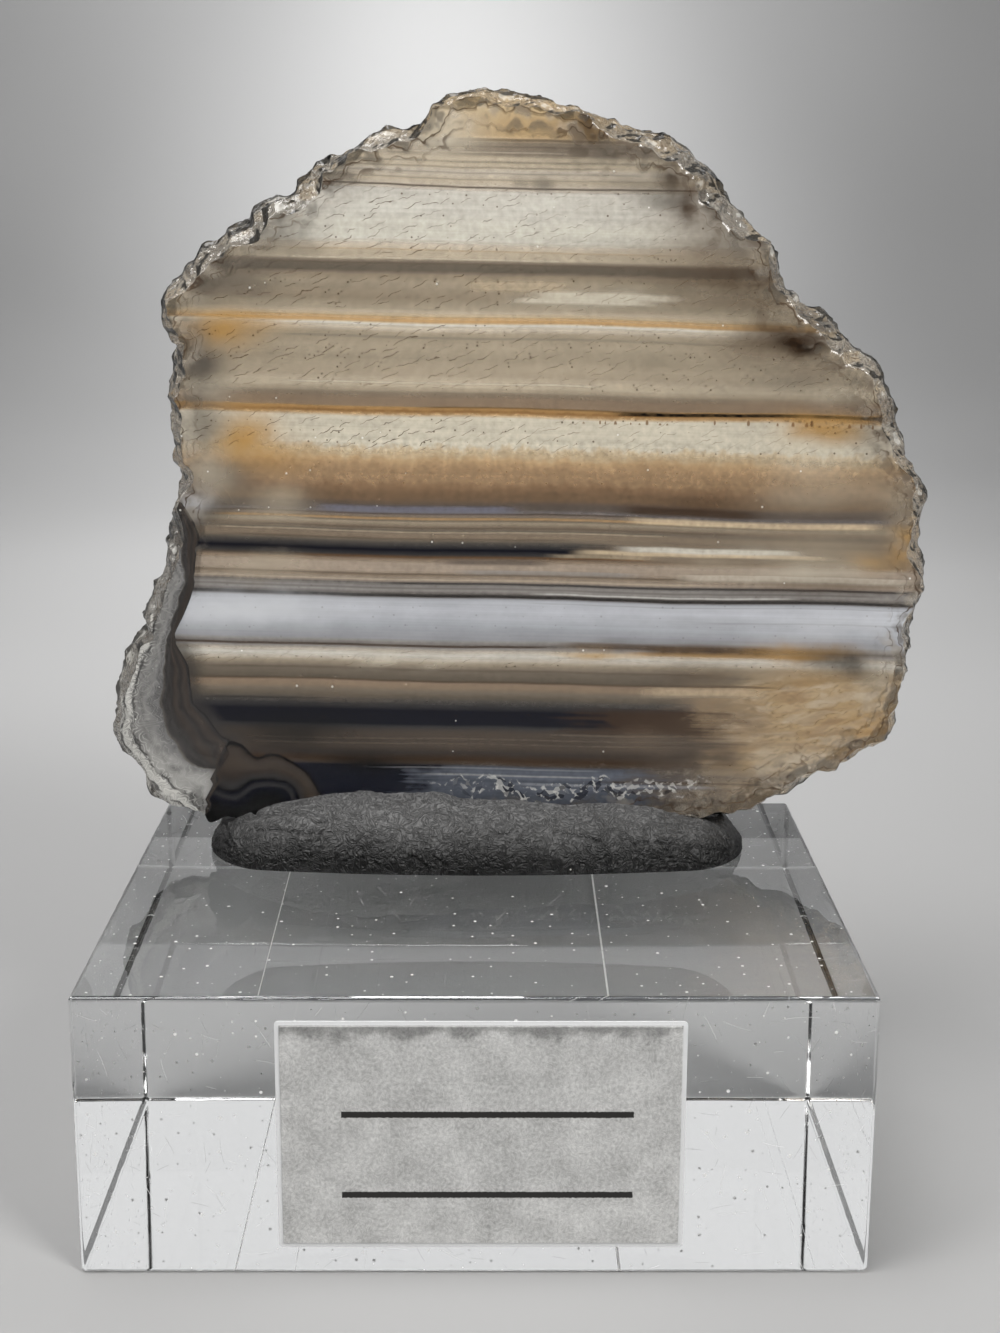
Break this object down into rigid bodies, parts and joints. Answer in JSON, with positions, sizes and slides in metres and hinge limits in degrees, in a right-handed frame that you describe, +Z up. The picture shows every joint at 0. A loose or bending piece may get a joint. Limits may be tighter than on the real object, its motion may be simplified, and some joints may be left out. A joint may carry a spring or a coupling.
{
  "type": "agate slice on a clear stand",
  "caption": "Thin translucent banded agate slice with a rough natural rim, standing on edge in a roll of dark putty on a clear block with a plain label.",
  "frame": {"origin": "centre of the block's underside, which rests on the surface", "axes": "+Z up, the labelled front of the block faces -Y, +X to the viewer's right"},
  "size_m": [0.0473, 0.0302, 0.0592],
  "materials": {
    "agate": "polished",
    "putty": "matte",
    "clear_acrylic": "polished",
    "label_tape": "satin"
  },
  "bodies": {
    "root": {"agate_slice": "agate", "mounting_putty": "putty", "acrylic_block": "clear_acrylic", "label": "label_tape"}
  },
  "joints": []
}
